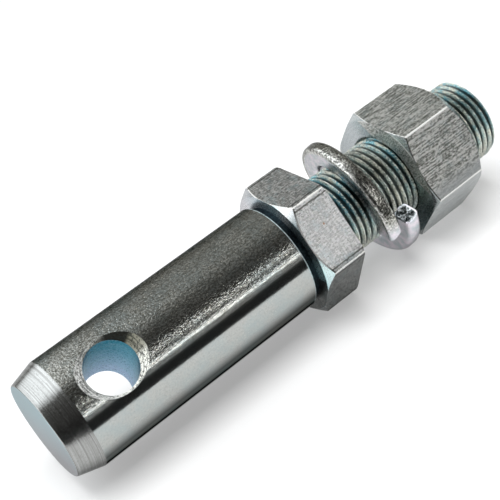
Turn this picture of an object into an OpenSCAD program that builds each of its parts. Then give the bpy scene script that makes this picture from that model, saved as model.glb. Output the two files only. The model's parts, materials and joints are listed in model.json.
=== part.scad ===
// Lift arm pin: a plain shank with a cross hole, a hexagon collar and a threaded stud,
// carrying a split spring washer and a hexagon nut.
// Millimetres. +X runs along the pin towards the threaded end, +Z is up.
// The origin is on the pin's axis, where the straight shank ends at the undercut.

/* [Shank] */
// Diameter of the shank that the ball of the lift arm turns on
shank_d = 28.575; // [20:0.005:40]
// Length of the shank, from its nose to the undercut
shank_l = 69.5; // [50:0.5:120]
// Diameter of the flat end of the nose
nose_d = 24.8; // [16:0.1:27]
// Length of the long chamfer behind the nose
nose_l = 6.5; // [2:0.5:12]
// Radius that softens both edges of the nose chamfer
nose_round = 1.2; // [0.4:0.1:2]
// Width of the undercut between shank and collar
undercut_w = 1.9; // [1:0.1:4]
// Depth of the undercut below the shank's surface
undercut_depth = 1.1; // [0.4:0.1:2.5]

/* [Cross hole] */
// Diameter of the hole for the linch pin
cross_d = 12.7; // [6:0.1:16]
// Distance of the hole's axis from the nose
cross_from_nose = 18.3; // [14:0.1:30]
// Turn of the hole's axis about the pin, from straight up
cross_turn = 40.5; // [0:0.5:90]
// Depth of the countersinks below the crest of the shank
sink_depth = 2.75; // [0.5:0.05:4]
// Included angle of the countersinks
sink_angle = 82; // [60:1:120]

/* [Collar] */
// Width of the collar across its flats
collar_af = 31.75; // [30:0.05:50]
// Thickness of the collar
collar_h = 11.5; // [6:0.1:25]
// Diameter of the flat ring on the collar's front
collar_front_d = 32.4; // [30:0.1:34]
// Angle of the front corner chamfer from the collar's face
collar_front_angle = 39; // [15:1:50]
// Diameter of the flat ring on the collar's back
collar_back_d = 35.2; // [30:0.1:36]
// Angle of the back corner chamfer from the collar's face
collar_back_angle = 30; // [15:1:50]

/* [Stud] */
// Diameter over the crests of the stud's thread
stud_d = 22.1; // [16:0.1:28]
// Length of the stud behind the collar
stud_l = 53.2; // [45:0.1:90]
// Chamfer at the stud's end
stud_chamfer = 0.7; // [0.2:0.1:2]
// Radius of the fillet where the stud leaves the collar
stud_fillet = 0.6; // [0.2:0.1:1]

/* [Nut] */
// Width of the nut across its flats
nut_af = 31.75; // [30:0.05:50]
// Height of the nut
nut_h = 19.05; // [10:0.05:25]
// Distance from the collar's back to the nut
nut_away = 24; // [18:0.1:30]
// Turn of the nut about the pin, against the collar
nut_turn = 7.3; // [-30:0.1:30]
// Diameter of the flat ring on the side towards the collar
nut_front_d = 32.8; // [29:0.1:34]
// Angle of the corner chamfer on that side, from the face
nut_front_angle = 27; // [15:1:50]
// Diameter of the flat ring on the outer side
nut_back_d = 29.2; // [27:0.1:34]
// Angle of the corner chamfer on the outer side, from the face
nut_back_angle = 43; // [15:1:50]
// Radial running clearance between stud and nut
nut_clearance = 0.06; // [0.02:0.01:0.1]
// Diameter of the countersinks at both ends of the nut's bore
nut_sink_d = 23.4; // [22.8:0.1:26]

/* [Spring washer] */
// Radial clearance between stud and washer
washer_clearance = 0.95; // [0.7:0.05:1.6]
// Width of the washer's section, from its hole to its rim
washer_w = 5.9; // [4:0.1:8]
// Thickness of the washer's section
washer_t = 4; // [2:0.1:5.4]
// Lead of the coil over one full turn
washer_lead = 5.8; // [5.6:0.1:7]
// Angle that the coil covers from end to end
washer_sweep = 362; // [340:1:364]
// Slant of the cut ends, as an angle seen along the pin
washer_slant = 4; // [0:1:10]
// Lean of the loose washer on the stud
washer_lean = 9.7; // [0:0.1:10]
// Turn about the pin of the side that leans towards the collar, from straight up
washer_lean_turn = 17.3; // [0:0.1:90]
// Turn about the washer of the end nearest the collar, from its lowest point
washer_end_turn = 263; // [200:1:320]
// Distance from the collar's back to the middle of the washer
washer_away = 13.8; // [10:0.1:15]

/* [Smoothness] */
// Steps along the spring washer's coil
coil_steps = 90; // [48:6:120]
// Steps round each softened edge of the nose
round_steps = 4; // [2:1:8]

/* [Hidden] */
$fn = 96;

shank_r = shank_d / 2;
nose_r = nose_d / 2;
stud_r = stud_d / 2;
collar_x = undercut_w;
collar_back_x = collar_x + collar_h;
stud_end_x = collar_back_x + stud_l;
nut_x = collar_back_x + nut_away;
nut_bore_r = stud_r + nut_clearance;
washer_x = collar_back_x + washer_away;
washer_in_r = stud_r + washer_clearance;
washer_out_r = washer_in_r + washer_w;
// How far a cutting shape passes the surface that it cuts
past = 1;

// Radius of a hexagon's corners, from its width across flats
function corner_r(af) = af / sqrt(3);

// Distance along the axis that a corner chamfer takes off at the hexagon's corners
function corner_drop(af, ring_d, angle) = (corner_r(af) - ring_d / 2) * tan(angle);

// Points of the arc that rounds the corner b of the line a-b-c with radius r
function corner_arc(a, b, c, r, steps) =
    let (
        u = (a - b) / norm(a - b),
        v = (c - b) / norm(c - b),
        half = acos(u * v) / 2,
        middle = b + (u + v) / norm(u + v) * r / sin(half),
        from = b + u * r / tan(half) - middle,
        to = b + v * r / tan(half) - middle,
        start = atan2(from.y, from.x),
        turn = atan2(from.x * to.y - from.y * to.x, from * to)
    )
    [for (i = [0 : steps]) middle + r * [cos(start + turn * i / steps), sin(start + turn * i / steps)]];

// Lays a shape that was drawn up its Z axis along the pin, with its foot at x
module along_pin(x) {
    translate([x, 0, 0]) rotate([0, 90, 0]) children();
}

// A hexagon prism whose corners are turned down to a ring at each end
module chamfered_hex(af, h, front_d, front_angle, back_d, back_angle) {
    reach = corner_r(af) + past;
    front = (reach - front_d / 2) * tan(front_angle);
    back = (reach - back_d / 2) * tan(back_angle);
    intersection() {
        rotate([0, 0, 30]) cylinder(r = corner_r(af), h = h, $fn = 6);
        rotate_extrude() polygon([
            [0, 0], [front_d / 2, 0], [reach, front],
            [reach, h - back], [back_d / 2, h], [0, h]
        ]);
    }
}

// The turned shank: flat nose, long softened chamfer, straight wall and undercut
module shank() {
    face = [nose_r, -shank_l];
    shoulder = [shank_r, -shank_l + nose_l];
    along_pin(0) rotate_extrude() polygon(concat(
        [[0, -shank_l]],
        corner_arc([0, -shank_l], face, shoulder, nose_round, round_steps),
        corner_arc(face, shoulder, [shank_r, 0], nose_round, round_steps),
        [[shank_r, 0], [shank_r - undercut_depth, 0],
         [shank_r - undercut_depth, undercut_w + past], [0, undercut_w + past]]
    ));
}

// The stud at its crest diameter, with a filleted root and a chamfered end
module stud() {
    root = [stud_r, 0];
    along_pin(collar_back_x) rotate_extrude() polygon(concat(
        [[0, -past], [stud_r + stud_fillet, -past], [stud_r + stud_fillet, 0]],
        corner_arc([stud_r + past, 0], root, [stud_r, stud_l], stud_fillet, round_steps),
        [[stud_r, stud_l - stud_chamfer], [stud_r - stud_chamfer, stud_l], [0, stud_l]]
    ));
}

// The hole for the linch pin, countersunk where it breaks through the shank
module cross_hole() {
    sink_r = cross_d / 2 + sink_depth * tan(sink_angle / 2);
    grow = past * tan(sink_angle / 2);
    translate([cross_from_nose - shank_l, 0, 0]) rotate([cross_turn, 0, 0]) {
        cylinder(d = cross_d, h = shank_d + 2 * past, center = true);
        for (side = [0, 1]) mirror([0, 0, side])
            translate([0, 0, shank_r - sink_depth])
                cylinder(r1 = cross_d / 2, r2 = sink_r + grow, h = sink_depth + past);
    }
}

// Shank, collar and stud, turned and milled from one bar
module pin_body() {
    color("silver") difference() {
        union() {
            shank();
            along_pin(collar_x) chamfered_hex(collar_af, collar_h,
                collar_front_d, collar_front_angle, collar_back_d, collar_back_angle);
            stud();
        }
        cross_hole();
    }
}

// The hexagon nut, bored to run on the stud's crests and countersunk at both ends
module hex_nut() {
    sink = nut_sink_d / 2 - nut_bore_r;
    color("gainsboro") along_pin(nut_x) rotate([0, 0, nut_turn]) difference() {
        chamfered_hex(nut_af, nut_h, nut_front_d, nut_front_angle, nut_back_d, nut_back_angle);
        translate([0, 0, -past]) cylinder(r = nut_bore_r, h = nut_h + 2 * past);
        for (side = [0, 1]) translate([0, 0, side * nut_h]) mirror([0, 0, side])
            translate([0, 0, -past])
                cylinder(r1 = nut_bore_r + sink + past, r2 = nut_bore_r, h = sink + past);
    }
}

// A left-hand helical band, a little wider than the washer's ring on both sides
module helical_band() {
    inner = washer_in_r - past;
    outer = washer_out_r + past;
    turns = washer_sweep / 360;
    slant_rise = washer_lead * washer_slant / 360;
    points = [for (i = [0 : coil_steps])
        let (
            t = i / coil_steps,
            low = washer_end_turn - washer_sweep * t,
            high = low - washer_slant,
            z = washer_lead * turns * t - (washer_lead * turns + washer_t) / 2
        )
        each [
            [inner * cos(low), inner * sin(low), z],
            [outer * cos(low), outer * sin(low), z],
            [outer * cos(high), outer * sin(high), z + washer_t + slant_rise],
            [inner * cos(high), inner * sin(high), z + washer_t + slant_rise]
        ]
    ];
    sides = [for (i = [0 : coil_steps - 1], k = [0 : 3])
        let (a = 4 * i + k, b = 4 * i + (k + 1) % 4)
        each [[a, a + 4, b + 4], [a, b + 4, b]]
    ];
    last = 4 * coil_steps;
    polyhedron(points, concat(
        [[0, 1, 2], [0, 2, 3], [last, last + 2, last + 1], [last, last + 3, last + 2]],
        sides
    ));
}

// The split spring washer, sprung open and leaning on the stud
module spring_washer() {
    color("lightgrey") translate([washer_x, 0, 0])
        rotate([washer_lean_turn, 0, 0]) rotate([0, 90 - washer_lean, 0]) intersection() {
            difference() {
                cylinder(r = washer_out_r, h = 4 * washer_lead, center = true);
                cylinder(r = washer_in_r, h = 4 * washer_lead + past, center = true);
            }
            helical_band();
        }
}

pin_body();
spring_washer();
hex_nut();
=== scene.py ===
"""The looks of the lift arm pin: its plated pin, spring washer and nut, with the thread cut in."""
import json
import math

import bmesh
import bpy
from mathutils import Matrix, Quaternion, Vector

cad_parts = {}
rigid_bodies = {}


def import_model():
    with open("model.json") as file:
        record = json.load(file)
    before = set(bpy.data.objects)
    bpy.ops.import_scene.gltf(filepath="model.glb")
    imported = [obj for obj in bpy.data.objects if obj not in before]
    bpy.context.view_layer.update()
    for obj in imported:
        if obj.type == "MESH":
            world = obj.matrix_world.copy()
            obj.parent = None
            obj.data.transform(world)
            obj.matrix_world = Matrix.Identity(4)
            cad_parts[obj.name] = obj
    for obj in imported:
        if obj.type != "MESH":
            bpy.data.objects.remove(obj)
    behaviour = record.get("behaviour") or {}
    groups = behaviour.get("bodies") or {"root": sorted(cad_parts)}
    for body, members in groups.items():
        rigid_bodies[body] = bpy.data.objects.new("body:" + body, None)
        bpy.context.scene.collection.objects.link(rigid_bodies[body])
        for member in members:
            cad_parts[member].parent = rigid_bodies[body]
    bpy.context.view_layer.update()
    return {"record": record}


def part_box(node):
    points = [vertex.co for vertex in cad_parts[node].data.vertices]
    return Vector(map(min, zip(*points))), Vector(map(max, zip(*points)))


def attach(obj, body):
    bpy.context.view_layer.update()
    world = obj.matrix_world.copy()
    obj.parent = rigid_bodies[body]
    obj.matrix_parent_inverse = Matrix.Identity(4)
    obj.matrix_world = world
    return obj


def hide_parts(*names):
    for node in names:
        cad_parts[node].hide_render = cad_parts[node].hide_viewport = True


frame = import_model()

MM = 0.001
QUARTER = math.pi / 2

# Sizes that the frame gives
mounts = {mount["name"]: mount for mount in frame["record"]["mounts"]}
pin_low, pin_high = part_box("pin_body")
nut_low, nut_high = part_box("hex_nut")
washer_low, washer_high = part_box("spring_washer")
shank_r = mounts["lift_arm_shank"]["dims"]["r_mm"] * MM
cross_r = mounts["linch_pin_hole"]["dims"]["r_mm"] * MM
cross_x = mounts["linch_pin_hole"]["pos_m"][0]
cross_axis = Vector(mounts["linch_pin_hole"]["axis"])
stud_r = mounts["bracket_stud"]["dims"]["r_mm"] * MM
nose_x = pin_low.x
stud_end = pin_high.x
collar_back = mounts["collar_back"]["pos_m"][0]
hex_af = -2 * pin_low.z

# Sizes of the pin
NOSE_R = 12.4 * MM
NOSE_LENGTH = 6.5 * MM
NOSE_SOFT = 0.5 * MM
UNDERCUT_W = 1.9 * MM
UNDERCUT_DEPTH = 1.1 * MM
COLLAR_FRONT_R = 16.2 * MM
COLLAR_FRONT_ANGLE = math.radians(39)
COLLAR_BACK_R = 17.6 * MM
COLLAR_BACK_ANGLE = math.radians(30)
HEX_CORNER_SOFT = 0.75 * MM
SINK_DEPTH = 2.75 * MM
SINK_HALF_ANGLE = math.radians(41)
STUD_CHAMFER = 0.7 * MM

# Sizes of the thread: 14 turns to the inch, with flat crests and roots
PITCH = 25.4 / 14 * MM
THREAD_DEPTH = 1.02 * MM
CREST_FLAT = 0.24 * MM
ROOT_FLAT = 0.3 * MM
THREAD_STEPS = 96

# Sizes of the nut
NUT_AF = hex_af
NUT_FRONT_R = 16.4 * MM
NUT_FRONT_ANGLE = math.radians(27)
NUT_BACK_R = 14.6 * MM
NUT_BACK_ANGLE = math.radians(43)
NUT_TURN = math.radians(7.3)
NUT_SINK_R = 11.7 * MM

# Sizes of the spring washer
WASHER_IN_R = 12.0 * MM
WASHER_W = 5.9 * MM
WASHER_T = 4.0 * MM
WASHER_LEAD = 5.8 * MM
WASHER_SWEEP = math.radians(362)
WASHER_SLANT = math.radians(4)
WASHER_LEAN = math.radians(9.7)
WASHER_LEAN_TURN = math.radians(17.3)
WASHER_END_TURN = math.radians(263)
WASHER_X = collar_back + 13.8 * MM
WASHER_SOFT = 1.35 * MM

# Rounding of the hexagons' edges
EDGE_SOFT = 0.27 * MM

# The floor: its size, its colour, and the brightness it is lifted by where it is seen
FLOOR_R = 2
FLOOR_PALE = 0.64
FLOOR_LIFT = 0.32
FLOOR_LAMP = 5.2

# The room's brightness, from the side of the camera (-1) over to the far side (1)
ROOM_GREYS = ((-1, 0.01), (-0.92, 0.014), (-0.84, 0.04), (-0.5, 0.075), (-0.36, 0.09),
              (-0.1, 0.18), (0.15, 0.30), (1, 0.32))

# The black card: its distance in front of the pin and its height
CARD_Y = -0.083
CARD_TOP = 0.012

# Turn of the flat on the camera's side, from the one on top
RIGHT_FLAT = math.radians(60)

# How far a cutting shape passes what it cuts
PAST = 1 * MM
# Points nearer to each other than this are one
SAME_PLACE = 0.001 * MM


def object_mode():
    """Leaves edit mode and selects nothing"""
    if bpy.context.object and bpy.context.object.mode != "OBJECT":
        bpy.ops.object.mode_set(mode="OBJECT")
    bpy.ops.object.select_all(action="DESELECT")


def take(piece):
    """Makes a piece the only selected one and the active one"""
    object_mode()
    piece.select_set(True)
    bpy.context.view_layer.objects.active = piece


def edit(piece):
    """Opens a piece for editing, with nothing in it selected"""
    take(piece)
    bpy.ops.object.mode_set(mode="EDIT")
    bpy.ops.mesh.select_mode(type="FACE")
    bpy.ops.mesh.select_all(action="DESELECT")


def apply_modifier(piece, modifier):
    take(piece)
    bpy.ops.object.modifier_apply(modifier=modifier.name)


def settle(piece):
    """Moves a piece's place into its mesh"""
    take(piece)
    bpy.ops.object.transform_apply(location=True, rotation=True, scale=True)


def select_faces(piece, passes):
    """Selects the faces of the piece in edit mode whose centre and normal pass"""
    bpy.ops.mesh.select_mode(type="FACE")
    bpy.ops.mesh.select_all(action="DESELECT")
    mesh = bmesh.from_edit_mesh(piece.data)
    for face in mesh.faces:
        if passes(face.calc_center_median(), face.normal):
            face.select_set(True)
    bmesh.update_edit_mesh(piece.data)


def select_edges(piece, passes):
    """Selects the edges of the piece in edit mode whose two ends pass"""
    bpy.ops.mesh.select_mode(type="EDGE")
    bpy.ops.mesh.select_all(action="DESELECT")
    mesh = bmesh.from_edit_mesh(piece.data)
    for edge in mesh.edges:
        if passes(edge):
            edge.select_set(True)
    bmesh.update_edit_mesh(piece.data)


def from_axis(point):
    """Distance of a point from the pin's axis"""
    return math.hypot(point.y, point.z)


def turned(name, stations, sides=192):
    """A solid turned about the pin's axis, through stations of (x, radius)"""
    object_mode()
    x, radius = stations[0]
    bpy.ops.mesh.primitive_circle_add(
        vertices=sides, radius=radius, fill_type="NGON",
        location=(x, 0, 0), rotation=(0, QUARTER, 0))
    piece = bpy.context.object
    piece.name = name
    settle(piece)
    bpy.ops.object.mode_set(mode="EDIT")
    bpy.ops.mesh.select_all(action="SELECT")
    for next_x, next_radius in stations[1:]:
        bpy.ops.mesh.extrude_region_move(TRANSFORM_OT_translate={"value": (next_x - x, 0, 0)})
        ratio = next_radius / radius
        bpy.ops.transform.resize(value=(1, ratio, ratio), center_override=(next_x, 0, 0))
        x, radius = next_x, next_radius
    bpy.ops.mesh.select_all(action="SELECT")
    bpy.ops.mesh.normals_make_consistent(inside=False)
    object_mode()
    return piece


def arc_stations(before, corner, after, radius, steps=5):
    """Stations of the arc that rounds a corner between two others"""
    a, b, c = (Vector(point) for point in (before, corner, after))
    u, v = (a - b).normalized(), (c - b).normalized()
    half = math.acos(max(-1, min(1, u.dot(v)))) / 2
    middle = b + (u + v).normalized() * radius / math.sin(half)
    start, end = b + u * radius / math.tan(half) - middle, b + v * radius / math.tan(half) - middle
    turn = math.atan2(start.x * end.y - start.y * end.x, start.dot(end))
    first = math.atan2(start.y, start.x)
    return [
        (middle.x + radius * math.cos(first + turn * i / steps),
         middle.y + radius * math.sin(first + turn * i / steps))
        for i in range(steps + 1)
    ]


def combine(piece, tool, operation):
    """Joins, cuts or intersects a piece with a tool, which is then gone"""
    modifier = piece.modifiers.new("Combine", "BOOLEAN")
    modifier.operation = operation
    modifier.object = tool
    modifier.solver = "EXACT"
    modifier.material_mode = "TRANSFER"
    apply_modifier(piece, modifier)
    bpy.data.objects.remove(tool, do_unlink=True)


def soften(piece, width, degrees, worn_and_painted):
    """Rounds the edges of a piece that are sharper than an angle, and gives them a finish of wear with
    painted highlight and shade
    """
    piece.data.materials.append(worn_and_painted)
    modifier = piece.modifiers.new("Soft edges", "BEVEL")
    modifier.width = width
    modifier.segments = 2
    modifier.material = len(piece.data.materials) - 1
    modifier.limit_method = "ANGLE"
    modifier.angle_limit = math.radians(degrees)
    apply_modifier(piece, modifier)


def clean(piece):
    """Merges points that fall together and takes out faces without area"""
    edit(piece)
    bpy.ops.mesh.select_all(action="SELECT")
    bpy.ops.mesh.remove_doubles(threshold=SAME_PLACE)
    bpy.ops.mesh.dissolve_degenerate(threshold=SAME_PLACE)
    object_mode()


def smooth(piece):
    """Shades a piece smooth, apart from its edges, and keeps its flats flat"""
    take(piece)
    bpy.ops.object.shade_smooth_by_angle(angle=math.radians(32))
    modifier = piece.modifiers.new("Flat flats", "WEIGHTED_NORMAL")
    modifier.mode = "FACE_AREA"
    modifier.weight = 100
    modifier.keep_sharp = True
    apply_modifier(piece, modifier)


def paint(piece, material, passes):
    """Gives another material to the faces whose centre and normal pass"""
    piece.data.materials.append(material)
    edit(piece)
    select_faces(piece, passes)
    piece.active_material_index = len(piece.data.materials) - 1
    bpy.ops.object.material_slot_assign()
    object_mode()


def surface_of(piece, material):
    """Gives all of a piece one material"""
    piece.data.materials.clear()
    piece.data.materials.append(material)


def hexagon(name, x, height, across, turn, front, back, material):
    """A hexagon bar with softened edges whose corners are turned down to a ring at each end"""
    object_mode()
    corner = across / math.sqrt(3)
    bpy.ops.mesh.primitive_cylinder_add(
        vertices=6, radius=corner, depth=height,
        location=(x + height / 2, 0, 0), rotation=(0, QUARTER, 0))
    piece = bpy.context.object
    piece.name = name
    settle(piece)
    piece.rotation_euler = (turn, 0, 0)
    settle(piece)
    edit(piece)
    select_edges(piece, lambda e: abs(e.verts[0].co.x - e.verts[1].co.x) > height / 2)
    bpy.ops.mesh.bevel(offset=HEX_CORNER_SOFT * math.tan(math.radians(30)), segments=5, affect="EDGES")
    front_r, front_angle = front
    back_r, back_angle = back
    reach = corner + PAST
    front_drop = (reach - front_r) * math.tan(front_angle)
    back_drop = (reach - back_r) * math.tan(back_angle)
    rings = turned("Corner rings", [
        (x, front_r), (x + front_drop, reach),
        (x + height - back_drop, reach), (x + height, back_r)])
    surface_of(piece, material[0])
    surface_of(rings, material[1])
    combine(piece, rings, "INTERSECT")
    soften(piece, EDGE_SOFT, 45, material[2])
    return piece


def thread_groove(name, start, end, deep_r, open_r, deep_half, open_half):
    """A right-hand helical bar of V section, to be cut out of a cylinder or a bore"""
    object_mode()
    turns = math.ceil((end - start) / PITCH)
    bpy.ops.mesh.primitive_plane_add(size=1, location=(0, 0, 0), rotation=(QUARTER, 0, 0))
    piece = bpy.context.object
    piece.name = name
    piece.dimensions = (2 * open_half, abs(open_r - deep_r), 0)
    piece.location = (start, 0, (open_r + deep_r) / 2)
    settle(piece)
    edit(piece)
    bpy.ops.mesh.select_mode(type="VERT")
    mesh = bmesh.from_edit_mesh(piece.data)
    middle = (open_r + deep_r) / 2
    for vertex in mesh.verts:
        vertex.select_set((vertex.co.z < middle) == (deep_r < open_r))
    bmesh.update_edit_mesh(piece.data)
    bpy.ops.transform.resize(
        value=(deep_half / open_half, 1, 1), center_override=(start, 0, deep_r))
    bpy.ops.mesh.select_all(action="SELECT")
    bpy.ops.mesh.delete(type="ONLY_FACE")
    screw = piece.modifiers.new("Thread", "SCREW")
    screw.axis = "X"
    screw.angle = 2 * math.pi
    screw.screw_offset = PITCH
    screw.iterations = turns
    screw.steps = THREAD_STEPS
    screw.render_steps = THREAD_STEPS
    screw.use_merge_vertices = False
    apply_modifier(piece, screw)
    edit(piece)
    bpy.ops.mesh.select_all(action="SELECT")
    bpy.ops.mesh.fill_holes(sides=4)
    bpy.ops.mesh.select_all(action="SELECT")
    bpy.ops.mesh.normals_make_consistent(inside=False)
    object_mode()
    return piece


def cross_drill(finish):
    """The shape that drilling and countersinking the cross hole takes away"""
    crest = shank_r
    sink_floor = crest - SINK_DEPTH
    outer = cross_r + (SINK_DEPTH + PAST) * math.tan(SINK_HALF_ANGLE)
    drill = turned("Cross drill", [
        (-crest - PAST, outer), (-sink_floor, cross_r),
        (sink_floor, cross_r), (crest + PAST, outer)], sides=128)
    surface_of(drill, finish["bore"])
    paint(drill, finish["sink"], lambda middle, normal: abs(middle.x) > sink_floor)
    drill.rotation_mode = "QUATERNION"
    drill.rotation_quaternion = Vector((1, 0, 0)).rotation_difference(cross_axis)
    drill.location = (cross_x, 0, 0)
    settle(drill)
    return drill


def make_pin(finish):
    """Shank, collar and stud as one piece, with its thread and its cross hole"""
    face = (nose_x, NOSE_R)
    shoulder = (nose_x + NOSE_LENGTH, shank_r)
    groove_r = shank_r - UNDERCUT_DEPTH
    collar_front = UNDERCUT_W
    stations = [(nose_x, NOSE_R / 2)]
    stations += arc_stations((nose_x, 0), face, shoulder, NOSE_SOFT)
    stations += arc_stations(face, shoulder, (0, shank_r), NOSE_SOFT)
    stations += [(x * MM, shank_r) for x in (-62, -58, -54.5, -51.2, -48, -44.5, -41, -30, -15)]
    stations += arc_stations((-1, shank_r), (0, shank_r), (0, groove_r), 0.35 * MM, 3)
    stations += [(0, groove_r), (collar_front + PAST, groove_r), (collar_front + PAST, stud_r)]
    pin = turned("pin_body.detailed", stations)
    surface_of(pin, finish["turned"])
    paint(pin, finish["chamfer"], lambda middle, normal: middle.x < nose_x + NOSE_LENGTH)
    paint(pin, finish["end"], lambda middle, normal: normal.x < -0.9 and middle.x < nose_x + PAST)
    paint(pin, finish["rim"], lambda middle, normal: middle.x > -0.35 * MM)
    paint(pin, finish["recess"], lambda middle, normal: middle.x > -0.02 * MM)
    collar = hexagon(
        "Collar", collar_front, collar_back - collar_front, hex_af, 0,
        (COLLAR_FRONT_R, COLLAR_FRONT_ANGLE), (COLLAR_BACK_R, COLLAR_BACK_ANGLE),
        (finish["drawn"], finish["collar_face"], finish["collar_edge"]))
    stud = turned("Stud", [
        (collar_back - PAST, stud_r), (stud_end - STUD_CHAMFER, stud_r),
        (stud_end, stud_r - STUD_CHAMFER)], sides=THREAD_STEPS * 2)
    surface_of(stud, finish["thread"])
    paint(stud, finish["end"], lambda middle, normal: normal.x > 0.9)
    groove_open = (PITCH - CREST_FLAT) / 2
    over = 0.06 * MM
    groove = thread_groove(
        "Thread groove", collar_back + 0.9 * MM, stud_end + PITCH,
        stud_r - THREAD_DEPTH, stud_r + over, ROOT_FLAT / 2, groove_open + over / 2)
    surface_of(groove, finish["thread"])
    combine(stud, groove, "DIFFERENCE")
    combine(pin, collar, "UNION")
    combine(pin, stud, "UNION")
    combine(pin, cross_drill(finish), "DIFFERENCE")
    clean(pin)
    return pin


def make_nut(finish):
    """The hexagon nut with its countersunk and threaded bore"""
    height = nut_high.x - nut_low.x
    nut = hexagon(
        "hex_nut.detailed", nut_low.x, height, NUT_AF, NUT_TURN,
        (NUT_FRONT_R, NUT_FRONT_ANGLE), (NUT_BACK_R, NUT_BACK_ANGLE),
        (finish["coarse"], finish["nut_face"], finish["nut_edge"]))
    minor_r = stud_r - THREAD_DEPTH + 0.15 * MM
    sink = NUT_SINK_R - minor_r
    bore = turned("Nut bore", [
        (nut_low.x - PAST, NUT_SINK_R + PAST), (nut_low.x + sink, minor_r),
        (nut_high.x - sink, minor_r), (nut_high.x + PAST, NUT_SINK_R + PAST)],
        sides=THREAD_STEPS * 2)
    surface_of(bore, finish["thread"])
    combine(nut, bore, "DIFFERENCE")
    groove = thread_groove(
        "Nut thread", collar_back + 0.9 * MM + PITCH * 11.5, nut_high.x + 2 * PITCH,
        stud_r + 0.05 * MM, minor_r - 0.05 * MM,
        CREST_FLAT / 2, (PITCH - ROOT_FLAT) / 2)
    surface_of(groove, finish["thread"])
    combine(nut, groove, "DIFFERENCE")
    clean(nut)
    return nut


def break_ends(washer, radius, material):
    """Roughens the two ends of the coil, as a break leaves them"""
    def at_end(middle, normal):
        return abs(middle.y) < 1.2 * MM and abs(middle.x - radius) < 1 * MM and abs(normal.y) > 0.9
    edit(washer)
    select_faces(washer, at_end)
    bpy.ops.mesh.inset(thickness=0.35 * MM, use_individual=True)
    object_mode()
    paint(washer, material, at_end)
    edit(washer)
    select_faces(washer, at_end)
    bpy.ops.mesh.poke()
    bpy.ops.mesh.subdivide(number_cuts=5)
    bpy.ops.mesh.select_less()
    bpy.ops.transform.vertex_random(offset=0.12 * MM, uniform=0.2, normal=0.8, seed=4)
    object_mode()


def make_washer(finish):
    """The split ring of spring steel, rolled to a soft section and broken off at a slant"""
    object_mode()
    radius = WASHER_IN_R + WASHER_W / 2
    bpy.ops.mesh.primitive_plane_add(size=1, location=(0, 0, 0), rotation=(QUARTER, 0, 0))
    washer = bpy.context.object
    washer.name = "spring_washer.detailed"
    washer.dimensions = (WASHER_W, WASHER_T, 0)
    washer.location = (radius, 0, 0)
    settle(washer)
    edit(washer)
    bpy.ops.mesh.select_all(action="SELECT")
    bpy.ops.mesh.bevel(offset=WASHER_SOFT, segments=7, affect="VERTICES")
    bpy.ops.mesh.select_all(action="SELECT")
    slant = math.atan2(radius * WASHER_SLANT, WASHER_T)
    foot = (radius, 0, -WASHER_T / 2)
    bpy.ops.transform.rotate(value=-slant, orient_axis="X", center_override=foot)
    bpy.ops.transform.resize(value=(1, 1, 1 / math.cos(slant)), center_override=foot)
    bpy.ops.mesh.delete(type="ONLY_FACE")
    object_mode()
    rise = WASHER_LEAD * WASHER_SWEEP / (2 * math.pi)
    screw = washer.modifiers.new("Coil", "SCREW")
    screw.axis = "Z"
    screw.angle = -WASHER_SWEEP
    screw.screw_offset = rise
    screw.steps = 180
    screw.render_steps = 180
    apply_modifier(washer, screw)
    edit(washer)
    bpy.ops.mesh.select_all(action="SELECT")
    bpy.ops.mesh.fill_holes(sides=64)
    bpy.ops.mesh.select_all(action="SELECT")
    bpy.ops.mesh.normals_make_consistent(inside=False)
    object_mode()
    surface_of(washer, finish["spring"])
    break_ends(washer, radius, finish["broken"])
    washer.location = (0, 0, -rise / 2)
    settle(washer)
    for turn in ((0, 0, WASHER_END_TURN), (0, QUARTER - WASHER_LEAN, 0), (WASHER_LEAN_TURN, 0, 0)):
        washer.rotation_euler = turn
        settle(washer)
    washer.location = (WASHER_X, 0, 0)
    settle(washer)
    clean(washer)
    return washer


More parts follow.
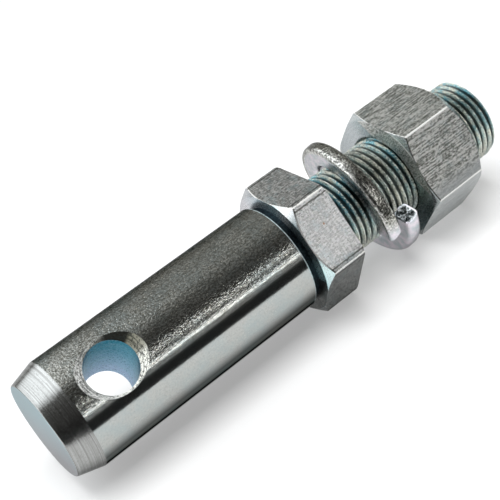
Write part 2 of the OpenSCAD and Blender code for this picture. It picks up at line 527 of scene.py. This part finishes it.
class Recipe:
    """A material's nodes, added one by one; every pattern is measured in millimetres"""

    def __init__(self, name):
        self.material = bpy.data.materials.new(name)
        self.material.use_nodes = True
        self.tree = self.material.node_tree
        self.shader = self.tree.nodes["Principled BSDF"]
        place = self.tree.nodes.new("ShaderNodeTexCoord")
        scale = self.tree.nodes.new("ShaderNodeMapping")
        scale.inputs["Scale"].default_value = (1 / MM, 1 / MM, 1 / MM)
        self.join(place.outputs["Object"], scale.inputs["Vector"])
        self.place = scale.outputs["Vector"]

    def join(self, output, socket):
        self.tree.links.new(output, socket)

    def put(self, socket, value):
        """Gives a socket a number, a colour or another node's output"""
        if isinstance(value, bpy.types.NodeSocket):
            self.join(value, socket)
        else:
            socket.default_value = value

    def stretched(self, stretch, place=None):
        """The place, stretched along the three axes"""
        node = self.tree.nodes.new("ShaderNodeMapping")
        self.join(place or self.place, node.inputs["Vector"])
        node.inputs["Scale"].default_value = stretch
        return node.outputs["Vector"]

    def noise(self, per_mm, detail=2, rough=0.5, place=None):
        node = self.tree.nodes.new("ShaderNodeTexNoise")
        self.join(place or self.place, node.inputs["Vector"])
        node.inputs["Scale"].default_value = per_mm
        node.inputs["Detail"].default_value = detail
        node.inputs["Roughness"].default_value = rough
        return node.outputs["Fac"]

    def between(self, value, low, high, to_low=0.0, to_high=1.0):
        """Carries a range of a value over to another range"""
        node = self.tree.nodes.new("ShaderNodeMapRange")
        self.put(node.inputs["Value"], value)
        node.inputs["From Min"].default_value = low
        node.inputs["From Max"].default_value = high
        node.inputs["To Min"].default_value = to_low
        node.inputs["To Max"].default_value = to_high
        return node.outputs["Result"]

    def math(self, operation, first, second=0.0):
        node = self.tree.nodes.new("ShaderNodeMath")
        node.operation = operation
        self.put(node.inputs[0], first)
        self.put(node.inputs[1], second)
        return node.outputs[0]

    def blend(self, share, first, second):
        """Colour between two others"""
        node = self.tree.nodes.new("ShaderNodeMix")
        node.data_type = "RGBA"
        self.put(node.inputs["Factor"], share)
        for socket, value in ((node.inputs[6], first), (node.inputs[7], second)):
            self.put(socket, value if isinstance(value, bpy.types.NodeSocket) else (*value, 1))
        return node.outputs[2]

    def bump(self, height, depth, below=None):
        """Raises a pattern by a depth in metres, over another relief"""
        node = self.tree.nodes.new("ShaderNodeBump")
        node.inputs["Distance"].default_value = depth
        self.join(height, node.inputs["Height"])
        if below:
            self.join(below, node.inputs["Normal"])
        return node.outputs["Normal"]

    def axes(self, place=None):
        """The place's three parts"""
        node = self.tree.nodes.new("ShaderNodeSeparateXYZ")
        self.join(place or self.place, node.inputs[0])
        return node.outputs

    def along(self, direction):
        """How far the place lies in a direction"""
        node = self.tree.nodes.new("ShaderNodeVectorMath")
        node.operation = "DOT_PRODUCT"
        self.join(self.place, node.inputs[0])
        node.inputs[1].default_value = direction
        return node.outputs["Value"]

    def upward(self):
        """Height above the pin's axis, leaning a little to the far side"""
        return self.along((0, 0.17, 0.98))

    def off_axis(self):
        """Distance from the pin's axis"""
        flat = self.stretched((0, 1, 1))
        node = self.tree.nodes.new("ShaderNodeVectorMath")
        node.operation = "LENGTH"
        self.join(flat, node.inputs[0])
        return node.outputs["Value"]

    def around(self, up, side):
        """Turn about an axis in degrees, from one direction towards another at right angles"""
        turn = self.math("ARCTAN2", self.along(side), self.along(up))
        return self.math("DEGREES", turn)

    def film(self, turn, stops):
        """Colours at given turns round an axis, blending from each to the next: painted reflection and
        shade, over the plate's film tints where it has them
        """
        node = self.tree.nodes.new("ShaderNodeValToRGB")
        self.join(self.between(turn, -180, 180), node.inputs["Fac"])
        while len(node.color_ramp.elements) < len(stops):
            node.color_ramp.elements.new(0.5)
        for element, (degrees, colour) in zip(node.color_ramp.elements, stops):
            element.position = degrees / 360 + 0.5
            element.color = (*colour, 1)
        return node.outputs["Color"]

    def spot(self, centre, radius):
        """One inside a small round place, nought outside, with a ragged edge"""
        node = self.tree.nodes.new("ShaderNodeVectorMath")
        node.operation = "DISTANCE"
        self.join(self.place, node.inputs[0])
        node.inputs[1].default_value = centre
        ragged = self.math("MULTIPLY", self.noise(3.0), radius)
        far = self.math("ADD", node.outputs["Value"], ragged)
        return self.between(far, radius * 1.3, radius * 0.9)

    def metal(self, colour, roughness, relief, metallic=1.0, rim=0.45):
        """Finishes the material; rim is how bright the metal stays where it is seen aslant"""
        shader = self.shader
        self.put(shader.inputs["Metallic"], metallic)
        shader.inputs["Specular Tint"].default_value = (rim, rim, rim, 1)
        self.put(shader.inputs["Base Color"], colour)
        self.put(shader.inputs["Roughness"], roughness)
        self.join(relief, shader.inputs["Normal"])
        return self.material


def turned_plate():
    """Ground and plated shank: its upper side speckled, with painted glints; its lower side clean, with
    painted shade along its underside
    """
    mix = Recipe("Plated turned steel")
    grain = mix.noise(2.4, 3, 0.8, mix.stretched((0.8, 1, 1)))
    glints = mix.noise(3.0, 1, 0.5, mix.stretched((0.6, 1, 1)))
    dimples = mix.noise(2.0, 1, 0.6, mix.stretched((0.8, 1, 1)))
    drawn = mix.noise(4.0, 2, 0.6, mix.stretched((0.05, 1, 1)))
    patches = mix.noise(0.13, 4, 0.65)
    height = mix.upward()
    speckled = mix.between(height, 1.5, 6.5, 0.12, 1)
    share = mix.math("MULTIPLY", mix.between(grain, 0.36, 0.66), speckled)
    colour = mix.blend(share, (0.42, 0.43, 0.415), (0.76, 0.765, 0.72))
    pits = mix.math("MULTIPLY", mix.between(grain, 0.50, 0.36), speckled)
    colour = mix.blend(pits, colour, (0.20, 0.205, 0.18))
    colour = mix.blend(mix.between(patches, 0.40, 0.62, 0, 0.5), colour, (0.37, 0.44, 0.45))
    dimpled = mix.between(height, 4.8, 6.4, 0.05, 1)
    sunk = mix.math("MULTIPLY", mix.between(dimples, 0.47, 0.40, 0, 0.55), dimpled)
    colour = mix.blend(sunk, colour, (0.16, 0.16, 0.13))
    # Bright flecks on the upper side: painted glints
    bright = mix.math("MULTIPLY", mix.between(glints, 0.66, 0.76), speckled)
    colour = mix.blend(bright, colour, (1.0, 0.98, 0.88))
    lines = mix.math("MULTIPLY", mix.between(drawn, 0.50, 0.34, 0, 0.5), mix.between(height, 2, 4))
    colour = mix.blend(lines, colour, (0.20, 0.18, 0.14))
    # Painted shade: the underside darkens in two steps, in place of the pin's own shadow on the floor
    # seen in the metal
    low = mix.math("MULTIPLY", mix.between(height, -4.8, -8, 0, 0.6), mix.between(height, -9.4, -8.4))
    colour = mix.blend(low, colour, (0.10, 0.10, 0.10))
    colour = mix.blend(mix.between(height, -9.8, -10.8, 0, 0.9), colour, (0.06, 0.06, 0.06))
    roughness = mix.between(speckled, 0.12, 1, 0.11, 0.19)
    relief = mix.bump(drawn, 0.0000035)
    relief = mix.bump(mix.math("MULTIPLY", dimples, dimpled), 0.00007, relief)
    return mix.metal(colour, roughness, relief, rim=0.08)


def chamfer_plate():
    """The nose's long chamfer, with the rings that the turning tool left, and painted shade towards its
    lower side
    """
    mix = Recipe("Plated turned nose")
    grain = mix.noise(2.3, 3, 0.7)
    rings = mix.noise(3.2, 3, 0.7, mix.stretched((1, 0.008, 0.008)))
    swells = mix.noise(0.4, 1, 0.5, mix.stretched((0.3, 1, 1)))
    colour = mix.blend(mix.between(rings, 0.36, 0.62), (0.36, 0.36, 0.35), (0.62, 0.63, 0.62))
    colour = mix.blend(mix.between(grain, 0.5, 0.36, 0, 0.5), colour, (0.30, 0.30, 0.29))
    # Painted shade: darker towards the bottom
    colour = mix.blend(mix.between(mix.upward(), 2.5, 0, 0, 0.4), colour, (0.10, 0.10, 0.095))
    roughness = mix.between(grain, 0.35, 0.65, 0.14, 0.26)
    relief = mix.bump(rings, 0.000014)
    relief = mix.bump(swells, 0.00005, relief)
    relief = mix.bump(grain, 0.000006, relief)
    return mix.metal(colour, roughness, relief)


def end_plate():
    """The flat end of the nose, with a pale blue film"""
    mix = Recipe("Plated end face")
    grain = mix.noise(2.4, 2, 0.6)
    height = mix.between(mix.upward(), -9, 6)
    colour = mix.blend(height, (0.52, 0.52, 0.54), (0.54, 0.70, 0.75))
    colour = mix.blend(mix.between(grain, 0.45, 0.7, 0, 0.3), colour, (0.66, 0.68, 0.70))
    relief = mix.bump(grain, 0.000006)
    return mix.metal(colour, 0.3, relief)


def recess_plate():
    """The undercut, painted dark inside as shade"""
    mix = Recipe("Plated undercut")
    grain = mix.noise(2.4, 2, 0.6)
    # Near-black colour: painted shade in the undercut
    colour = mix.blend(mix.between(grain, 0.4, 0.65), (0.015, 0.02, 0.025), (0.04, 0.06, 0.07))
    return mix.metal(colour, 0.45, mix.bump(grain, 0.00001))


def rim_plate():
    """The shank's edge over the undercut, bright with wear through a pale blue film and with a painted
    highlight
    """
    mix = Recipe("Plated rim")
    grain = mix.noise(2.2, 2, 0.6)
    # Pale, bright colour: wear, and a painted highlight along the edge
    colour = mix.blend(mix.between(grain, 0.36, 0.5), (0.30, 0.42, 0.45), (0.78, 0.90, 0.92))
    return mix.metal(colour, 0.35, mix.bump(grain, 0.00001), 0.5)


def flats(name, streak, dark, light, rough, tinted, crossed, grained, rounded, low, front, turn):
    """Flats of drawn hexagon bar: streaks along the bar, grain, corners bright with wear and painted
    highlight, painted highlight and painted shade along the front ring's edges, and lower flats in a
    painted colour
    """
    mix = Recipe(name)
    streaks = mix.noise(2.8, 3, 0.7, mix.stretched((streak, 1, 1)))
    grain = mix.noise(2.4, 3, 0.75, mix.stretched((0.6, 1, 1)))
    cross = mix.noise(2.8, 2, 0.6, mix.stretched((1, 0.12, 0.12)))
    share = mix.between(mix.math("ADD", streaks, grain), 0.89, 1.07)
    colour = mix.blend(share, dark, light)
    tints = mix.noise(0.35, 3, 0.7)
    colour = mix.blend(mix.between(tints, 0.50, 0.66, 0, tinted), colour, (0.56, 0.72, 0.76))
    colour = mix.blend(mix.between(cross, 0.49, 0.40, 0, crossed), colour, dark)
    # The lower flats take the colour low: painted shade on the collar, a painted reflection on the nut
    under = mix.between(mix.upward(), -1, -4)
    colour = mix.blend(mix.math("MULTIPLY", under, 0.72), colour, low)
    # Corners: bright with wear, and painted highlights along them
    ragged = mix.math("ADD", mix.off_axis(), mix.between(grain, 0.3, 0.7, -rounded, rounded))
    corner = mix.between(ragged, 18.155, 18.175)
    front_x, front_r, front_angle = front
    slope = 1 / math.tan(front_angle)
    cone = mix.math("MULTIPLY", mix.math("SUBTRACT", mix.axes()["X"], front_x / MM), slope)
    inside = mix.math("SUBTRACT", mix.off_axis(), mix.math("ADD", cone, front_r / MM))
    inside = mix.math("ADD", inside, mix.between(grain, 0.3, 0.7, -0.12, 0.12))
    edge = mix.between(inside, -0.42, -0.30)
    # Painted shade along the front ring's edge on the flat at turn
    facing = mix.along((0, -math.sin(turn), math.cos(turn)))
    painted_edge_shade = mix.math("MULTIPLY", mix.between(inside, -0.62, -0.50), mix.between(facing, 15.80, 15.86))
    # Painted highlight along the front ring's upper edges
    painted_top_highlight = mix.math("MULTIPLY", edge, mix.between(mix.upward(), 2, 6))
    bright = mix.math("MAXIMUM", corner, mix.math("SUBTRACT", painted_top_highlight, painted_edge_shade))
    colour = mix.blend(bright, colour, (0.98, 0.98, 0.95))
    colour = mix.blend(painted_edge_shade, colour, (0.03, 0.03, 0.025))
    roughness = mix.between(grain, 0.35, 0.65, *rough)
    relief = mix.bump(streaks, 0.00002)
    relief = mix.bump(mix.math("MULTIPLY", grain, mix.between(under, 0, 1, 1, 0.3)), grained, relief)
    if crossed:
        relief = mix.bump(cross, 0.000012, relief)
    metallic = mix.between(bright, 0, 1, 1, 0.35)
    return mix, colour, roughness, relief, metallic


def nut_flats():
    """Coarsely drawn flats, with long open streaks"""
    # The pale colour given for the lower flats is a painted reflection
    mix, colour, roughness, relief, metallic = flats(
        "Plated coarse flats", 0.07, (0.22, 0.23, 0.20), (1.0, 1.0, 0.97), (0.38, 0.52),
        0.15, 0, 0.00003, 0.01, (0.68, 0.71, 0.72),
        (nut_low.x, NUT_FRONT_R, NUT_FRONT_ANGLE), RIGHT_FLAT + NUT_TURN)
    return mix.metal(colour, roughness, relief, metallic)


def collar_flats():
    """The collar's flats: scored beside their corners, with a tiny spot of rust, and a painted highlight
    on the upper part of the flat on the camera's side
    """
    # The dark colour given for the lower flats is painted shade
    mix, colour, roughness, relief, metallic = flats(
        "Plated drawn flats", 0.25, (0.32, 0.33, 0.32), (1.0, 1.0, 1.0), (0.26, 0.38),
        0.45, 0.5, 0.000014, 0.04, (0.10, 0.105, 0.10),
        (UNDERCUT_W, COLLAR_FRONT_R, COLLAR_FRONT_ANGLE), RIGHT_FLAT)
    # Painted highlight: the flat on the camera's side is lightened towards white above the axis
    side = mix.math("MULTIPLY", mix.between(mix.axes()["Y"], -8.5, -11),
                    mix.between(mix.axes()["Z"], 0, 3, 0, 0.4))
    colour = mix.blend(mix.math("MULTIPLY", side, mix.between(metallic, 0.9, 1)), colour, (1.0, 1.0, 1.0))
    ragged = mix.between(mix.noise(2.6, 2, 0.6, mix.stretched((0.5, 1, 1))), 0.3, 0.7, -0.06, 0.06)
    scored = mix.math("ADD", mix.off_axis(), ragged)
    scored = mix.between(mix.math("ABSOLUTE", mix.math("SUBTRACT", scored, 17.80)), 0.10, 0.06)
    colour = mix.blend(mix.math("MULTIPLY", scored, 0.85), colour, (0.05, 0.05, 0.04))
    rust = mix.spot((8.2, -12.8, 9.65), 0.45)
    colour = mix.blend(rust, colour, (0.44, 0.25, 0.11))
    return mix.metal(colour, roughness, relief, metallic)


def faced_plate(name, ring, stops):
    """A face turned flat, its colour changing round the pin with the film's tints and with painted
    reflection and shade; paler past a ring
    """
    mix = Recipe(name)
    line = mix.tree.nodes.new("ShaderNodeCombineXYZ")
    mix.join(mix.off_axis(), line.inputs["X"])
    rings = mix.noise(2.5, 3, 0.6, line.outputs["Vector"])
    grain = mix.noise(2.6, 2, 0.6)
    # Colour round the pin: the film's tints, with painted reflection and shade
    colour = mix.film(mix.around((0, 0, 1), (0, -1, 0)), stops)
    outer = mix.between(mix.off_axis(), ring, ring + 0.3, 0, 0.4)
    colour = mix.blend(outer, colour, (0.74, 0.75, 0.75))
    colour = mix.blend(mix.between(rings, 0.50, 0.36, 0, 0.4), colour, (0.12, 0.15, 0.15))
    colour = mix.blend(mix.between(grain, 0.5, 0.72, 0, 0.3), colour, (0.70, 0.71, 0.70))
    roughness = mix.between(grain, 0.35, 0.65, 0.18, 0.34)
    relief = mix.bump(rings, 0.00001)
    relief = mix.bump(grain, 0.000008, relief)
    return mix.metal(colour, roughness, relief, 0.88)


def collar_face():
    """The collar's front: painted pale where it faces up, teal on its side with painted highlights and
    painted shade
    """
    return faced_plate("Plated collar face", 16.2, (
        (-180, (0.20, 0.24, 0.24)), (-40, (0.74, 0.73, 0.76)), (0, (0.56, 0.66, 0.72)),
        (14, (0.62, 0.80, 0.84)), (28, (1.0, 1.0, 1.0)), (38, (0.20, 0.27, 0.29)),
        (72, (0.16, 0.22, 0.24)), (86, (0.70, 1.0, 1.0)), (106, (0.50, 0.78, 0.84)),
        (122, (0.10, 0.14, 0.15)), (150, (0.04, 0.06, 0.06))))


def nut_face():
    """The nut's face towards the collar: painted pale where it faces up, with painted shade on its side
    """
    return faced_plate("Plated nut face", 16.4, (
        (-180, (0.16, 0.18, 0.18)), (-35, (0.52, 0.55, 0.57)), (0, (0.34, 0.44, 0.44)),
        (30, (0.90, 1.0, 1.0)), (45, (0.36, 0.46, 0.44)), (80, (0.34, 0.42, 0.40)),
        (105, (0.14, 0.19, 0.18)), (140, (0.06, 0.09, 0.09))))


def thread_plate():
    """Rolled thread: crests flecked with painted glints, teal in places, with roots painted dark as shade
    """
    mix = Recipe("Plated thread")
    grain = mix.noise(2.2, 2, 0.6)
    patches = mix.noise(0.3, 2, 0.5)
    flecks = mix.noise(2.6, 2, 0.7)
    middle = mix.math("ABSOLUTE", mix.math("SUBTRACT", mix.axes()["X"], 31))
    teal = mix.math("MULTIPLY", mix.between(patches, 0.62, 0.40), mix.between(middle, 1.5, 6, 0.25, 1))
    teal = mix.math("MULTIPLY", teal, mix.between(mix.upward(), -4, 4, 0.3, 1))
    colour = mix.blend(teal, (0.93, 0.93, 0.84), (0.27, 0.64, 0.76))
    colour = mix.blend(mix.between(flecks, 0.46, 0.38, 0, 0.8), colour, (0.11, 0.12, 0.09))
    # Painted shade in the roots
    root = mix.between(mix.off_axis(), 10.7, 10.3, 0, 0.92)
    colour = mix.blend(root, colour, (0.07, 0.09, 0.09))
    # Painted glints on the crests
    crest = mix.between(mix.off_axis(), 10.6, 10.9)
    bright = mix.math("MULTIPLY", mix.between(flecks, 0.53, 0.59, 0, 0.95), crest)
    colour = mix.blend(bright, colour, (1.0, 1.0, 0.86))
    roughness = mix.between(grain, 0.3, 0.7, 0.10, 0.22)
    relief = mix.bump(grain, 0.00004)
    relief = mix.bump(flecks, 0.0001, relief)
    return mix.metal(colour, roughness, relief, mix.between(bright, 0, 1, 1, 0.4))


def down_hole(mix):
    """The place, with its third axis along the cross hole"""
    turn = mix.tree.nodes.new("ShaderNodeMapping")
    mix.join(mix.place, turn.inputs["Vector"])
    turn.inputs["Location"].default_value = (-cross_x / MM, 0, 0)
    turn.inputs["Rotation"].default_value = (math.atan2(cross_axis.y, cross_axis.z), 0, 0)
    return turn.outputs["Vector"]


def bored_plate():
    """The drilled hole, with a teal film that pales towards its far end"""
    mix = Recipe("Plated bore")
    place = down_hole(mix)
    depth = mix.axes(place)["Z"]
    grain = mix.noise(2.4, 2, 0.6, place)
    rings = mix.noise(1.2, 2, 0.6, mix.stretched((0.05, 0.05, 1), place))
    far = mix.between(mix.math("ADD", depth, mix.between(rings, 0.3, 0.7, -3, 3)), 8, -11)
    colour = mix.blend(far, (0.04, 0.36, 0.49), (0.50, 0.64, 0.88))
    colour = mix.blend(mix.between(rings, 0.50, 0.62, 0, 0.35), colour, (0.42, 0.66, 0.80))
    colour = mix.blend(mix.between(grain, 0.48, 0.68, 0, 0.5), colour, (0.50, 0.70, 0.78))
    colour = mix.blend(mix.between(grain, 0.48, 0.34, 0, 0.6), colour, (0.03, 0.16, 0.22))
    relief = mix.bump(rings, 0.00002)
    relief = mix.bump(grain, 0.00001, relief)
    return mix.metal(colour, mix.between(grain, 0.35, 0.65, 0.25, 0.4), relief)


def sink_plate():
    """The countersinks, which the cutter left rough: painted white on one side and dark at the top, as
    painted reflection and shade
    """
    mix = Recipe("Plated countersink")
    mix.place = down_hole(mix)
    grain = mix.noise(2.2, 2, 0.6)
    chatter = mix.noise(1.9, 2, 0.6, mix.stretched((0.1, 0.1, 1)))
    turn = mix.around((0.68, 0.735, 0), (0.735, -0.68, 0))
    # Colour round the hole: painted reflection and shade
    colour = mix.film(turn, (
        (-180, (0.80, 0.81, 0.79)), (-110, (1.0, 1.0, 0.98)), (-40, (0.80, 0.80, 0.74)),
        (-17, (0.02, 0.02, 0.015)), (20, (0.02, 0.02, 0.015)), (27, (0.36, 0.35, 0.27)),
        (52, (0.44, 0.43, 0.36)), (60, (1.0, 1.0, 0.92)), (120, (1.0, 1.0, 0.94)),
        (180, (0.80, 0.81, 0.79))))
    colour = mix.blend(mix.between(grain, 0.48, 0.40, 0, 0.8), colour, (0.05, 0.055, 0.05))
    colour = mix.blend(mix.between(chatter, 0.50, 0.42, 0, 0.6), colour, (0.03, 0.035, 0.03))
    relief = mix.bump(grain, 0.00004)
    relief = mix.bump(chatter, 0.00002, relief)
    return mix.metal(colour, 0.5, relief, 0.15)


def worn_and_painted_edge_plate(name, turn):
    """Edges bright with wear and painted highlight, apart from those of one flat, which carry painted
    shade
    """
    mix = Recipe(name)
    grain = mix.noise(2.2, 3, 0.7)
    colour = mix.blend(mix.between(grain, 0.38, 0.55), (0.45, 0.46, 0.43), (1.0, 1.0, 0.97))
    node = mix.tree.nodes.new("ShaderNodeVectorMath")
    node.operation = "DOT_PRODUCT"
    mix.join(mix.place, node.inputs[0])
    node.inputs[1].default_value = (0, -math.sin(turn), math.cos(turn))
    # Painted shade along the edges of the flat at turn
    painted_edge_shade = mix.between(node.outputs["Value"], 15.55, 15.65)
    colour = mix.blend(painted_edge_shade, colour, (0.03, 0.03, 0.025))
    return mix.metal(colour, 0.4, mix.bump(grain, 0.00003), 0.5)


def broken_plate():
    """The washer's ends, where the wire broke off: dark and glittering"""
    mix = Recipe("Plated break")
    grain = mix.noise(2.0, 2, 0.7)
    colour = mix.blend(mix.between(grain, 0.46, 0.58), (0.10, 0.12, 0.12), (0.92, 0.96, 0.98))
    relief = mix.bump(grain, 0.00008)
    return mix.metal(colour, 0.3, relief)


def spring_plate():
    """Rolled spring wire: pale sides with soft waves, and a rim speckled dark and bright, with a painted
    highlight along its upper part, a painted dark band outside it and painted glints strongest on top
    """
    mix = Recipe("Plated spring steel")
    waves = mix.noise(0.5, 2, 0.5)
    grain = mix.noise(2.3, 3, 0.75)
    colour = mix.blend(mix.between(waves, 0.35, 0.65), (0.54, 0.59, 0.62), (0.80, 0.74, 0.80))
    upper = mix.between(mix.upward(), -5, -1)
    # Painted highlight: a bright band along the rim's upper part
    rim = mix.math("MULTIPLY", mix.between(mix.off_axis(), 15.9, 16.5), upper)
    colour = mix.blend(mix.math("MULTIPLY", rim, 0.75), colour, (0.92, 0.91, 0.85))
    # Painted shade: a dark band outside the highlight
    middle = mix.math("MULTIPLY", mix.between(mix.off_axis(), 17.2, 17.5), rim)
    colour = mix.blend(mix.math("MULTIPLY", middle, 0.6), colour, (0.24, 0.24, 0.19))
    pits = mix.math("MULTIPLY", mix.between(grain, 0.54, 0.45, 0, 0.9), rim)
    colour = mix.blend(pits, colour, (0.04, 0.04, 0.03))
    # Bright flecks: painted glints, strongest on top
    bright = mix.math("MULTIPLY", mix.between(grain, 0.56, 0.63), mix.between(upper, 0, 1, 0.3, 1))
    colour = mix.blend(bright, colour, (1.0, 1.0, 0.93))
    roughness = mix.between(grain, 0.3, 0.7, 0.12, 0.26)
    relief = mix.bump(waves, 0.00004)
    relief = mix.bump(mix.math("MULTIPLY", grain, mix.between(rim, 0, 1, 0.3, 1)), 0.00007, relief)
    return mix.metal(colour, roughness, relief)


def make_camera():
    """The camera at the photograph's viewing angle"""
    place = Vector((-106.84, -208.45, 160.80)) * MM
    aim = Vector((-4.37, 3.20, 4.33)) * MM
    lens = bpy.data.cameras.new("Camera")
    lens.lens = 84.125
    lens.sensor_width = 36
    lens.clip_start = 0.01
    camera = bpy.data.objects.new("Camera", lens)
    bpy.context.scene.collection.objects.link(camera)
    camera.location = place
    camera.rotation_mode = "QUATERNION"
    roll = Quaternion((0, 0, 1), math.radians(-21.28))
    camera.rotation_quaternion = (aim - place).to_track_quat("-Z", "Y") @ roll
    bpy.context.scene.camera = camera


def lamp(name, place, aim, size, radiance, seen_in_metal):
    """A flat soft lamp whose face has a given brightness"""
    light = bpy.data.lights.new(name, "AREA")
    light.shape = "RECTANGLE"
    light.size, light.size_y = size
    light.energy = radiance * math.pi * size[0] * size[1]
    stand = bpy.data.objects.new(name, light)
    bpy.context.scene.collection.objects.link(stand)
    stand.location = place
    stand.rotation_euler = (Vector(aim) - Vector(place)).to_track_quat("-Z", "Y").to_euler()
    stand.visible_camera = False
    stand.visible_glossy = seen_in_metal


def make_floor():
    """A pale floor that shows white to the camera and in the metal, and keeps the shadow"""
    object_mode()
    bpy.ops.mesh.primitive_circle_add(
        vertices=128, radius=FLOOR_R, fill_type="NGON", location=(0, 0.1, washer_low.z - 0.1 * MM))
    floor = bpy.context.object
    floor.name = "Floor"
    material = bpy.data.materials.new("Pale floor")
    material.use_nodes = True
    tree = material.node_tree
    shader = tree.nodes["Principled BSDF"]
    shader.inputs["Base Color"].default_value = (FLOOR_PALE, FLOOR_PALE, FLOOR_PALE, 1)
    shader.inputs["Roughness"].default_value = 0.9
    shader.inputs["Specular IOR Level"].default_value = 0
    shader.inputs["Emission Color"].default_value = (1, 1, 1, 1)
    path = tree.nodes.new("ShaderNodeLightPath")
    seen = tree.nodes.new("ShaderNodeMath")
    seen.operation = "MAXIMUM"
    tree.links.new(path.outputs["Is Camera Ray"], seen.inputs[0])
    tree.links.new(path.outputs["Is Glossy Ray"], seen.inputs[1])
    lift = tree.nodes.new("ShaderNodeMath")
    lift.operation = "MULTIPLY"
    lift.inputs[1].default_value = FLOOR_LIFT
    tree.links.new(seen.outputs[0], lift.inputs[0])
    tree.links.new(lift.outputs[0], shader.inputs["Emission Strength"])
    surface_of(floor, material)


def smooth_step(tree, value, low, high):
    """Rises softly from nought at low to one at high"""
    node = tree.nodes.new("ShaderNodeMapRange")
    node.interpolation_type = "SMOOTHSTEP"
    tree.links.new(value, node.inputs["Value"])
    node.inputs["From Min"].default_value = low
    node.inputs["From Max"].default_value = high
    return node.outputs["Result"]


def make_room():
    """The dim room round the object: greyer on its far side, with a pale wall past the nose"""
    world = bpy.data.worlds.new("Studio")
    bpy.context.scene.world = world
    world.use_nodes = True
    tree = world.node_tree
    towards = tree.nodes.new("ShaderNodeSeparateXYZ")
    tree.links.new(tree.nodes.new("ShaderNodeTexCoord").outputs["Generated"], towards.inputs[0])
    along, across = towards.outputs["X"], towards.outputs["Y"]
    grey = tree.nodes.new("ShaderNodeValToRGB")
    shift = tree.nodes.new("ShaderNodeMapRange")
    shift.inputs["From Min"].default_value = -1
    tree.links.new(across, shift.inputs["Value"])
    tree.links.new(shift.outputs["Result"], grey.inputs["Fac"])
    ramp = grey.color_ramp
    while len(ramp.elements) < len(ROOM_GREYS):
        ramp.elements.new(0.5)
    for element, (place, level) in zip(ramp.elements, ROOM_GREYS):
        element.position = (place + 1) / 2
        element.color = (level, level, level * 0.96, 1)
    wall = smooth_step(tree, along, 0.24, 0.02)
    for value, low, high in ((across, -0.24, 0.10), (towards.outputs["Z"], 0.1, 0.4)):
        both = tree.nodes.new("ShaderNodeMath")
        both.operation = "MULTIPLY"
        tree.links.new(wall, both.inputs[0])
        tree.links.new(smooth_step(tree, value, low, high), both.inputs[1])
        wall = both.outputs[0]
    mix = tree.nodes.new("ShaderNodeMix")
    mix.data_type = "RGBA"
    tree.links.new(wall, mix.inputs["Factor"])
    tree.links.new(grey.outputs["Color"], mix.inputs[6])
    mix.inputs[7].default_value = (1.6, 1.66, 1.7, 1)
    ground = tree.nodes.new("ShaderNodeMix")
    ground.data_type = "RGBA"
    tree.links.new(smooth_step(tree, towards.outputs["Z"], 0, -0.02), ground.inputs["Factor"])
    tree.links.new(mix.outputs[2], ground.inputs[6])
    ground.inputs[7].default_value = (0.6, 0.6, 0.6, 1)
    tree.links.new(ground.outputs[2], tree.nodes["Background"].inputs["Color"])


def black_card():
    """A low black card in front, which draws the dark line along round metal"""
    object_mode()
    low, high = washer_low.z, CARD_TOP
    bpy.ops.mesh.primitive_plane_add(
        size=1, location=(0, CARD_Y, (low + high) / 2), rotation=(QUARTER, 0, 0))
    card = bpy.context.object
    card.name = "Black card"
    card.dimensions = (1.6, high - low, 0)
    settle(card)
    material = bpy.data.materials.new("Black card")
    material.use_nodes = True
    shader = material.node_tree.nodes["Principled BSDF"]
    shader.inputs["Base Color"].default_value = (0.01, 0.01, 0.01, 1)
    shader.inputs["Roughness"].default_value = 1
    surface_of(card, material)
    card.visible_camera = False
    card.visible_diffuse = False
    card.visible_shadow = False


def make_studio():
    """A dim room, a black card, a soft lamp over the floor and three strip lamps that draw the highlights
    """
    make_room()
    black_card()
    lamp("Floor lamp", (0, -0.12, 0.8), (0, 0.06, 0), (0.6, 0.6), FLOOR_LAMP, False)
    lamp("Upper strip lamp", (0.3, -0.54, 0.366), (0.3, 0, 0), (0.6, 0.03), 4, True)
    lamp("Lower strip lamp", (0.3, -0.66, 0.208), (0.3, 0, 0), (0.6, 0.04), 3.6, True)
    lamp("Dim strip lamp", (0.3, -0.66, 0.095), (0.3, 0, 0), (0.6, 0.13), 0.3, True)


finish = {
    "turned": turned_plate(),
    "chamfer": chamfer_plate(),
    "end": end_plate(),
    "rim": rim_plate(),
    "recess": recess_plate(),
    "sink": sink_plate(),
    "drawn": collar_flats(),
    "coarse": nut_flats(),
    "thread": thread_plate(),
    "bore": bored_plate(),
    "collar_face": collar_face(),
    "collar_edge": worn_and_painted_edge_plate("Plated collar edge", RIGHT_FLAT),
    "nut_face": nut_face(),
    "nut_edge": worn_and_painted_edge_plate("Plated nut edge", RIGHT_FLAT + NUT_TURN),
    "spring": spring_plate(),
    "broken": broken_plate(),
}
pin = make_pin(finish)
nut = make_nut(finish)
washer = make_washer(finish)
for piece, node, body, slot in (
        (pin, "pin_body", "pin", "plated_pin"),
        (nut, "hex_nut", "nut", "plated_nut"),
        (washer, "spring_washer", "washer", "plated_washer")):
    smooth(piece)
    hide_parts(node)
    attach(piece, body)

make_floor()
make_studio()
make_camera()
bpy.context.scene.view_settings.view_transform = "Standard"
